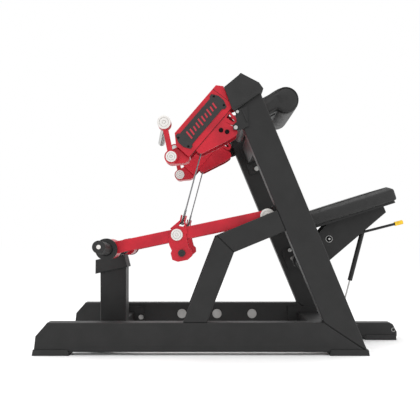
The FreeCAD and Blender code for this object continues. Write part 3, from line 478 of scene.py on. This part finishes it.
# ------------------------------------------------------------------ operators
class CURL_OT_stage(Operator):
    """Pale floor, soft studio light and the camera"""
    bl_idname = "curl.stage"
    bl_label = "Stage"

    def execute(self, context):
        scene = context.scene
        scene.view_settings.view_transform = "Standard"
        world = bpy.data.worlds.new("studio_white")
        world.use_nodes = True
        world.node_tree.nodes["Background"].inputs["Color"].default_value = (1.0, 1.0, 1.0, 1.0)
        world.node_tree.nodes["Background"].inputs["Strength"].default_value = 1.0
        scene.world = world
        span = np.linspace(-1, 1, 2)
        x, y = np.meshgrid(span * 30, span * 30, indexing="ij")
        floor = grid_piece("floor", np.stack([x, y, np.full_like(x, -0.0005)], axis=-1), closed_u=False,
                           smooth=False)
        paper = surface("seamless_paper_white", {"Base Color": linear("#ffffff"), "Roughness": 0.9,
                                                 "Specular IOR Level": 0.0})
        floor.data.materials.append(paper)
        for name, place, aim, power, size in (
                ("key", (-1.6, -3.2, 3.4), (0.0, 0.0, 0.6), 42, 2.6),
                ("fill", (2.6, -2.6, 1.6), (0.1, 0.0, 0.5), 14, 2.2),
                ("top", (-0.2, 0.2, 4.0), (0.0, 0.0, 0.7), 45, 2.2)):
            light = bpy.data.lights.new(name, "AREA")
            light.energy, light.size = power, size
            lamp = bpy.data.objects.new(name, light)
            lamp.location = place
            lamp.rotation_euler = (Vector(aim) - Vector(place)).to_track_quat("-Z", "Y").to_euler()
            scene.collection.objects.link(lamp)
        lens = bpy.data.cameras.new("camera")
        lens.lens, lens.sensor_width, lens.shift_y = 50.0, 36.0, 27 / 420
        lens.clip_end = 200.0
        camera = bpy.data.objects.new("camera", lens)
        camera.location, camera.rotation_euler = (-0.091, -2.769, 0.483), (math.radians(90), 0.0, 0.0)
        scene.collection.objects.link(camera)
        scene.camera = camera
        return {"FINISHED"}


class CURL_OT_frame_finish(Operator):
    """Powder coat, steel, rubber and plastic on the machine's hard parts"""
    bl_idname = "curl.frame_finish"
    bl_label = "Hard parts"

    def execute(self, context):
        kinds = {"painted_metal": "black_coat", "rubber": "rubber", "brushed_steel": "steel",
                 "chrome": "knurl", "matte_plastic": "panel", "gloss_plastic": "white",
                 "leather": "vinyl"}
        slots = {m["slot"]: m["class"] for m in frame["record"]["materials"]}
        special = {"red_paint": "red_coat", "yellow_plastic": "yellow"}
        for row in frame["record"]["subparts"]:
            name, slot = row["node"], row["material_slot"]
            key = special.get(slot, kinds[slots[slot]])
            if name.endswith("hood"):
                key = "hood_coat"
            if name.endswith("cable"):
                key = "rope"
            if name == "rail_caps":
                key = "grey"
            for place in NODES[name].material_slots:
                place.material = finish(key)
            if not NODES[name].material_slots:
                NODES[name].data.materials.append(finish(key))
        return {"FINISHED"}


class CURL_OT_seat(Operator):
    """Moulded seat cushion: a crowned slab with a slanted shoulder and stitched seams"""
    bl_idname = "curl.seat"
    bl_label = "Seat cushion"

    def execute(self, context):
        crown = context.scene.curl_sizes.crown
        # the plan is a superellipse-cornered rectangle; the section goes up the side, in over the
        # shoulder and across the crowned top
        rows = np.array([(0.006, 0.0105), (0.001, 0.013), (0.0, 0.020), (0.0, 0.055), (0.001, 0.0595),
                         (0.0035, 0.0625), (0.018, 0.0745), (0.023, 0.0772), (0.030, 0.0780)])
        half_long, half_wide, middle, rim = 0.220, 0.155, -0.147, 0.0780
        turn = np.linspace(0, 2 * np.pi, 240, endpoint=False)
        power = 2.0 / 18.0
        circle_x = np.sign(np.cos(turn)) * np.abs(np.cos(turn)) ** power
        circle_y = np.sign(np.sin(turn)) * np.abs(np.sin(turn)) ** power
        rings = []
        for inset, height in rows:
            rings.append(np.stack([circle_x * (half_long - inset) + middle,
                                   circle_y * (half_wide - inset), np.full_like(turn, height)],
                                  axis=-1))
        for scale in (0.75, 0.5, 0.25, 0.02):
            rings.append(np.stack([circle_x * (half_long - 0.030) * scale + middle,
                                   circle_y * (half_wide - 0.030) * scale,
                                   np.full_like(turn, rim + crown * (1 - scale ** 2))], axis=-1))
        grid = np.stack(rings, axis=1)
        xz = turned_point(SEAT_CORNER, SEAT_ANGLE, grid[..., 0], grid[..., 2])
        cushion = grid_piece("seat_cushion_cover", stand(xz, grid[..., 1]))
        swell(cushion, 3.0, 0.0018)
        settle(cushion, "seat_body", "vinyl")
        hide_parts("seat_cushion")
        # the seam runs round the top of the slanted shoulder
        inset, height = 0.0235, 0.0782
        ring = np.stack([circle_x * (half_long - inset) + middle, circle_y * (half_wide - inset)],
                        axis=-1)
        path = stand(turned_point(SEAT_CORNER, SEAT_ANGLE, ring[:, 0], np.full(len(ring), height)),
                     ring[:, 1])
        seam = closed_tube("seat_seam", path, 0.0013)
        settle(seam, "seat_body", "thread")
        return {"FINISHED"}


def closed_tube(name, path, radius, turns=8):
    """A round tube along a closed path: each ring is square to the path there, and the last joins the
    first."""
    step = np.roll(path, -1, 0) - np.roll(path, 1, 0)
    step /= np.linalg.norm(step, axis=1)[:, None]
    middle = path.mean(axis=0)
    out = path - middle
    out -= np.sum(out * step, axis=1)[:, None] * step
    out /= np.linalg.norm(out, axis=1)[:, None]
    up = np.cross(step, out)
    t = np.linspace(0, 2 * np.pi, turns, endpoint=False)[:, None, None]
    return grid_piece(name, path + radius * (np.cos(t) * out + np.sin(t) * up), closed_v=True)


def pad_profile(inset):
    """Outline of the arm pad across its width: a flat slab that ends in a roll, moved inwards by
    `inset`. The rows go from the slab's lower front corner, along its underside, round the roll and
    back over its top."""
    radius, under, length = 0.058 - inset, 0.0186 - inset, 0.233 - inset
    begin = math.asin(-under / radius)
    sweep = np.linspace(math.pi + abs(begin), 2.5 * math.pi, 44)
    roll = np.stack([radius * np.cos(sweep), radius * np.sin(sweep)], axis=-1)
    soft = 0.020
    corner = np.linspace(math.pi / 2, math.pi, 7)
    nose = np.stack([-length + soft + soft * np.cos(corner), radius - soft + soft * np.sin(corner)],
                    axis=-1)
    low_corner = np.linspace(math.pi, 1.5 * math.pi, 7)
    foot = np.stack([-length + soft + soft * np.cos(low_corner),
                     -under + soft + soft * np.sin(low_corner)], axis=-1)
    along = np.linspace(-length + soft + 0.01, roll[0, 0] - 0.004, 18)
    flat = np.stack([along, np.full_like(along, -under)], axis=-1)
    back = np.linspace(-0.01, -length + soft + 0.01, 22)
    top = np.stack([back, np.full_like(back, radius)], axis=-1)
    return np.concatenate([flat, roll, top, nose, foot])


class CURL_OT_arm_pad(Operator):
    """Arm pad: a flat slope for the upper arms that ends in a roll, with stitched ends"""
    bl_idname = "curl.arm_pad"
    bl_label = "Arm pad"

    def execute(self, context):
        soft = context.scene.curl_sizes.pad_round
        half = 0.209
        bend = np.linspace(0, math.pi / 2, 7)
        edge = [(soft * (1 - math.sin(b)), half - soft * (1 - math.cos(b))) for b in bend[::-1]]
        ends = [(0.035, -half)] + [(i, -y) for i, y in edge[::-1]]
        middle = [(0.0, y) for y in np.linspace(-half + soft, half - soft, 30)[1:-1]]
        rows = ends + middle + [(i, y) for i, y in edge] + [(0.035, half)]
        rings = []
        for inset, y in rows:
            outline = pad_profile(min(inset, 0.0165))
            xz = turned_point(ROLL_CENTRE, PAD_ANGLE, outline[:, 0], outline[:, 1])
            if inset > 0.0165:
                centre = xz.mean(axis=0)
                xz = centre + (xz - centre) * 0.5
            rings.append(stand(xz, y))
        cover = grid_piece("arm_pad_cover", np.stack(rings, axis=1))
        swell(cover, 2.5, 0.003)
        settle(cover, "frame", "vinyl")
        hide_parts("arm_pad")
        for side, sign in SIDES:
            outline = pad_profile(0.0045)
            xz = turned_point(ROLL_CENTRE, PAD_ANGLE, outline[:, 0], outline[:, 1])
            welt = closed_tube(f"pad_welt_{side}", stand(xz, sign * (half - 0.004)), 0.0024)
            settle(welt, "frame", "vinyl")
        return {"FINISHED"}


# turned profiles as (radius, height) rows: those of the cap and the bolts are scaled to their radius
# and height
CAP_PROFILE = np.array([(1.0, 0.0), (1.0, 0.35), (0.97, 0.62), (0.9, 0.78), (0.78, 0.84), (0.70, 0.80),
                        (0.69, 0.2), (0.62, 0.2), (0.61, 0.78), (0.52, 0.86), (0.3, 0.92), (0.28, 0.25),
                        (0.19, 0.25), (0.18, 0.9), (0.0, 0.94)])
ROUND_HEAD = np.array([(1.0, 0.0), (1.0, 0.28), (0.92, 0.5), (0.72, 0.68), (0.45, 0.74), (0.42, 0.3),
                       (0.0, 0.26)])
BUTTON_HEAD = np.array([(1.0, 0.0), (1.0, 0.22), (0.9, 0.42), (0.62, 0.52), (0.42, 0.52), (0.4, 0.2),
                        (0.0, 0.18)])
WASHER = np.array([(1.0, 0.0), (1.0, 0.10), (0.95, 0.14), (0.0, 0.14)])
PLUG_PROFILE = np.array([(0.0085, -0.002), (0.0085, 0.0002), (0.007, 0.001), (0.0, 0.0012)])
RING_PROFILE = np.array([(0.0077, 0.0), (0.0094, 0.0), (0.0094, 0.0008), (0.0077, 0.0008), (0.0077, 0.0)])


def pivot_cap(name, radius, thick, xz, y, sign, material, body):
    """A turned cap with a rolled rim, a ring groove and a dimple about its middle."""
    profile = CAP_PROFILE * [radius, thick]
    profile[0, 1] = 0.0
    cap = lathe(name, profile, (xz[0], y, xz[1]), (0.0, sign, 0.0))
    return settle(cap, body, material)


class CURL_OT_pivot_caps(Operator):
    """White caps over the links' pivots, the hangers' pins and the levers' shafts"""
    bl_idname = "curl.pivot_caps"
    bl_label = "Pivot caps"

    def execute(self, context):
        radius = context.scene.curl_sizes.cap_radius
        low, top = in_arm(*LINK_LOW), in_arm(*LINK_TOP)
        for side, sign in SIDES:
            for name, size, thick, xz, face, facing, body in (
                    ("cap_link_top", radius + 0.001, 0.004, top, LINK_FACE, sign, f"{side}_link_body"),
                    ("cap_link_low", radius - 0.0045, 0.0045, low, LINK_PIN_FACE, sign,
                     f"{side}_arm_body"),
                    ("cap_link_inner", radius - 0.0035, 0.004, low, BRACKET_INNER_FACE, -sign,
                     f"{side}_arm_body"),
                    ("cap_hanger", 0.0245, 0.004, HANGER_PIVOT, HANGER_FACE, sign, f"{side}_hanger_body"),
                    ("cap_lever", 0.0295, 0.004, LEVER_PIVOT, LEVER_SHAFT_FACE, sign, "frame")):
                pivot_cap(f"{side}_{name}", size, thick, xz, sign * face, facing, "white", body)
            disc = HANGER_PIVOT + [0.020, -0.076]
            pivot_cap(f"{side}_plug_hanger", 0.0152, 0.003, disc, sign * HANGER_FACE, sign, "panel",
                      f"{side}_hanger_body")
            reach, rise = HORN_LENGTH * math.cos(HORN_TILT), HORN_LENGTH * math.sin(HORN_TILT)
            tip = (LEVER_HUB[0], sign * (HORN_START + reach), LEVER_HUB[1] + rise)
            plug = lathe(f"{side}_horn_plug", PLUG_PROFILE, tip,
                         (0.0, sign * math.cos(HORN_TILT), math.sin(HORN_TILT)), 24)
            settle(plug, f"{side}_lever_body", "white")
        return {"FINISHED"}


class CURL_OT_fasteners(Operator):
    """Button-head bolts on the arms' webs and the panels' screws"""
    bl_idname = "curl.fasteners"
    bl_label = "Arm fasteners"

    def execute(self, context):
        for side, sign in SIDES:
            made = []
            for along, across, radius in ((0.179, 0.028, 0.0095), (0.168, 0.051, 0.0095)):
                xz = in_arm(along, across)
                made.append(lathe("bolt", ROUND_HEAD * [radius, 0.007],
                                  (xz[0], sign * ARM_WEB_FACE, xz[1]), (0, sign, 0), 24))
            for along in (0.0945, 0.3165):
                for across in (-0.0835, -0.0295):
                    xz = in_arm(along, across)
                    made.append(lathe("screw", ROUND_HEAD * [0.0045, 0.003],
                                      (xz[0], sign * PANEL_FACE, xz[1]), (0, sign, 0), 16))
            settle(merged(f"{side}_arm_fasteners", made), f"{side}_arm_body", "oxide")
        return {"FINISHED"}


PANEL_MIDDLE = -0.0565   # across the arm
BAR_LENGTHS_MM = (26, 22, 30, 20, 26, 32, 24, 20, 28, 36)


class CURL_OT_panel_inlay(Operator):
    """A plain red inlay of slanted bars on each arm's panel"""
    bl_idname = "curl.panel_inlay"
    bl_label = "Panel inlay"

    def execute(self, context):
        for side, sign in SIDES:
            made = []
            ys = sorted((sign * (PANEL_FACE - 0.0001), sign * (PANEL_FACE + 0.0008)))
            for along, length_mm in zip(np.arange(0.118, 0.292, 0.0175), BAR_LENGTHS_MM):
                low, high = PANEL_MIDDLE - length_mm / 2000.0, PANEL_MIDDLE + length_mm / 2000.0
                corners = [(along - 0.003, low), (along + 0.004, low), (along + 0.010, high),
                           (along + 0.003, high)]
                outline = np.array([in_arm(a, b) for a, b in corners])
                made.append(plate("bar", outline, ys[0], ys[1], 0.0003))
            settle(merged(f"{side}_panel_inlay", made), f"{side}_arm_body", "red_inlay")
        return {"FINISHED"}


# ------------------------------------------------------------------ sheet metal and small parts
def faceted(name, xz, heights, base):
    """A folded sheet-metal face: a grid of (X, Z) points, each with its own y, and a skirt from its
    border back to `base`. The border is walked round once and joined to its copy at the base."""
    nu, nv = xz.shape[:2]
    front = stand(xz, heights)
    ids = np.arange(nu * nv).reshape(nu, nv)
    quads = np.stack([ids[:-1, :-1], ids[1:, :-1], ids[1:, 1:], ids[:-1, 1:]], axis=-1).reshape(-1, 4)
    border = np.concatenate([ids[:, 0], ids[-1, 1:], ids[-2::-1, -1], ids[0, -2:0:-1]])
    back = front.reshape(-1, 3)[border].copy()
    back[:, 1] = base
    extra = nu * nv + np.arange(len(border))
    skirt = np.stack([border, np.roll(border, -1), np.roll(extra, -1), extra], axis=-1)
    mesh = bpy.data.meshes.new(name)
    mesh.from_pydata(np.concatenate([front.reshape(-1, 3), back]).tolist(), [],
                     quads.tolist() + skirt.tolist() + [extra.tolist()])
    bm = bmesh.new()
    bm.from_mesh(mesh)
    bmesh.ops.recalc_face_normals(bm, faces=bm.faces)
    bm.to_mesh(mesh)
    bm.free()
    made = bpy.data.objects.new(name, mesh)
    bpy.context.scene.collection.objects.link(made)
    bevel = made.modifiers.new("edge", "BEVEL")
    bevel.width, bevel.segments = 0.0012, 2
    bevel.limit_method, bevel.angle_limit = "ANGLE", math.radians(40)
    return made


class CURL_OT_hoods(Operator):
    """Folded sheet-metal hoods over the arms' pivots: a long face, a slanted face and a lip below"""
    bl_idname = "curl.hoods"
    bl_label = "Hoods"

    def execute(self, context):
        grid = np.array([[(-83, 18), (-52, -66), (-50.8, -71.5)],
                         [(-45, 42), (5, -30), (7, -44.6)],
                         [(-17, 72), (28, -13), (32, -27)],
                         [(57.5, 33.8), (62, 12), (64, -4.4)],
                         [(75.4, 11.1), (74.4, 7.5), (73.3, 2.2)]]) / 1000.0 + ARM_PIVOT
        rise = np.array([[0.4, 0.4, 0.2], [11, 11, 3], [11, 11, 3], [9, 9, 2.5], [4, 4, 0.8]]) / 1000.0
        for side, sign in SIDES:
            hood = faceted(f"{side}_hood_face", grid, sign * (HOOD_FACE + rise), sign * HOOD_BASE)
            settle(hood, "frame", "hood_coat")
        return {"FINISHED"}


class CURL_OT_seams(Operator):
    """Shadow lines where the arm's plates meet"""
    bl_idname = "curl.seams"
    bl_label = "Plate seams"

    def execute(self, context):
        for side, sign in SIDES:
            made = []
            # painted shadow: thin near-black tubes along the lines where the arm's plates meet
            for rows in (((0.0745, -0.1065), (0.0715, -0.066), (0.069, -0.026)),
                         ((0.0835, 0.0024), (0.20, 0.0024), (0.3445, 0.0024))):
                path = np.array([in_arm(a, b) for a, b in rows])
                made.append(tube("seam", stand(path, sign * ARM_FACE), 0.0008, 6))
            settle(merged(f"{side}_arm_seams", made), f"{side}_arm_body", "shadow")
        return {"FINISHED"}


class CURL_OT_seat_bolts(Operator):
    """Button-head bolts on the seat's side and bearing plates, and a ring round the rail's hole"""
    bl_idname = "curl.seat_bolts"
    bl_label = "Seat bolts"

    def execute(self, context):
        for side, sign in SIDES:
            rim, centre, dark = (stand(SEAT_BOLT, sign * (SEAT_PLATE_FACE + out))
                                 for out in (0.0, 0.004, 0.0016))
            made = [lathe("rim", WASHER * [0.016, 0.014], rim, (0, sign, 0), 32),
                    lathe("bolt", BUTTON_HEAD * [0.0055, 0.009], centre, (0, sign, 0), 24)]
            settle(merged(f"{side}_seat_bolt", made), "seat_body", "steel")
            washer = lathe(f"{side}_seat_washer", WASHER * [0.0138, 0.018], dark, (0, sign, 0), 32)
            settle(washer, "seat_body", "oxide")
            ring = lathe(f"{side}_tow_ring", RING_PROFILE, stand(TOW_HOLE, sign * RAIL_FACE),
                         (0, sign, 0), 40)
            settle(ring, "frame", "steel")
            made = []
            for x, z in ((0.332, 0.413), (0.346, 0.37), (0.376, 0.335)):
                made.append(lathe("bolt", BUTTON_HEAD * [0.010, 0.010], (x, sign * BEARING_FACE, z),
                                  (0, -sign, 0), 24))
            settle(merged(f"{side}_bearing_bolts", made), "frame", "steel")
        return {"FINISHED"}


# ------------------------------------------------------------------ panel and registration
STEPS = (CURL_OT_stage, CURL_OT_frame_finish, CURL_OT_seat, CURL_OT_arm_pad, CURL_OT_pivot_caps,
         CURL_OT_fasteners, CURL_OT_panel_inlay, CURL_OT_hoods, CURL_OT_seams, CURL_OT_seat_bolts)


class CURL_PT_panel(Panel):
    """Shows the colours, the sizes and a button for each step"""
    bl_label = "Arm curl machine"
    bl_idname = "CURL_PT_panel"
    bl_space_type = "VIEW_3D"
    bl_region_type = "UI"
    bl_category = "Arm curl"

    def draw(self, context):
        for group in (context.scene.curl_colours, context.scene.curl_sizes):
            for key in group.__annotations__:
                self.layout.prop(group, key)
        for step in STEPS:
            self.layout.operator(step.bl_idname)


CLASSES = (CurlColours, CurlSizes) + STEPS + (CURL_PT_panel,)


def register():
    for cls in CLASSES:
        bpy.utils.register_class(cls)
    bpy.types.Scene.curl_colours = PointerProperty(type=CurlColours)
    bpy.types.Scene.curl_sizes = PointerProperty(type=CurlSizes)


def unregister():
    del bpy.types.Scene.curl_sizes
    del bpy.types.Scene.curl_colours
    for cls in reversed(CLASSES):
        bpy.utils.unregister_class(cls)


def main():
    register()
    for step in STEPS:
        group, name = step.bl_idname.split(".")
        getattr(getattr(bpy.ops, group), name)()


if __name__ == "__main__":
    main()
